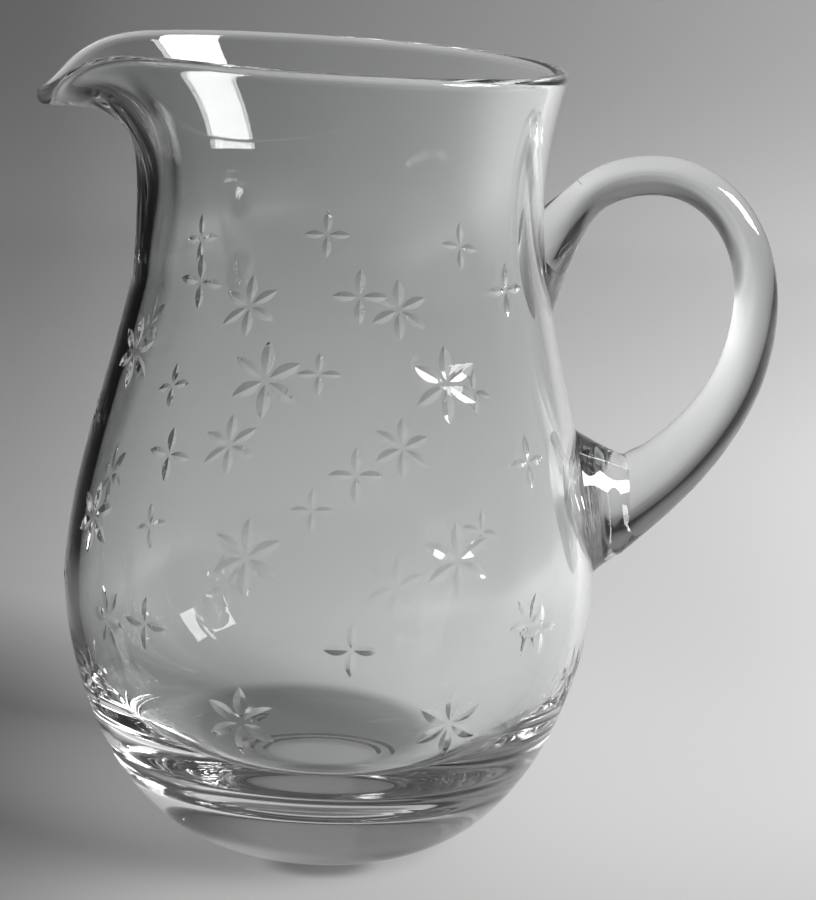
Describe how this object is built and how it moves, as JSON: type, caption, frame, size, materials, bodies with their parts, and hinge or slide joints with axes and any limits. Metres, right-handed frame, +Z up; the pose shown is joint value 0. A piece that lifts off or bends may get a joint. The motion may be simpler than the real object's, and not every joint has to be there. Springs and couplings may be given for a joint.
{
  "type": "pitcher",
  "caption": "Clear hand-blown glass pitcher with a pear-shaped body, thick base, pulled pouring lip and an applied solid loop handle.",
  "frame": {"origin": "on the table, under the middle of the pitcher's outline seen from above; the vessel's axis is 15.8 mm from it, towards the lip", "axes": "+Z up, +X towards the handle, -X towards the pouring lip"},
  "size_m": [0.1676, 0.1202, 0.1809],
  "materials": {
    "vessel_glass": "clear, polished",
    "handle_glass": "clear, fire-polished"
  },
  "bodies": {
    "root": {"body": "vessel_glass", "lower_pad": "handle_glass", "handle": "handle_glass", "upper_seal": "handle_glass"}
  },
  "joints": []
}
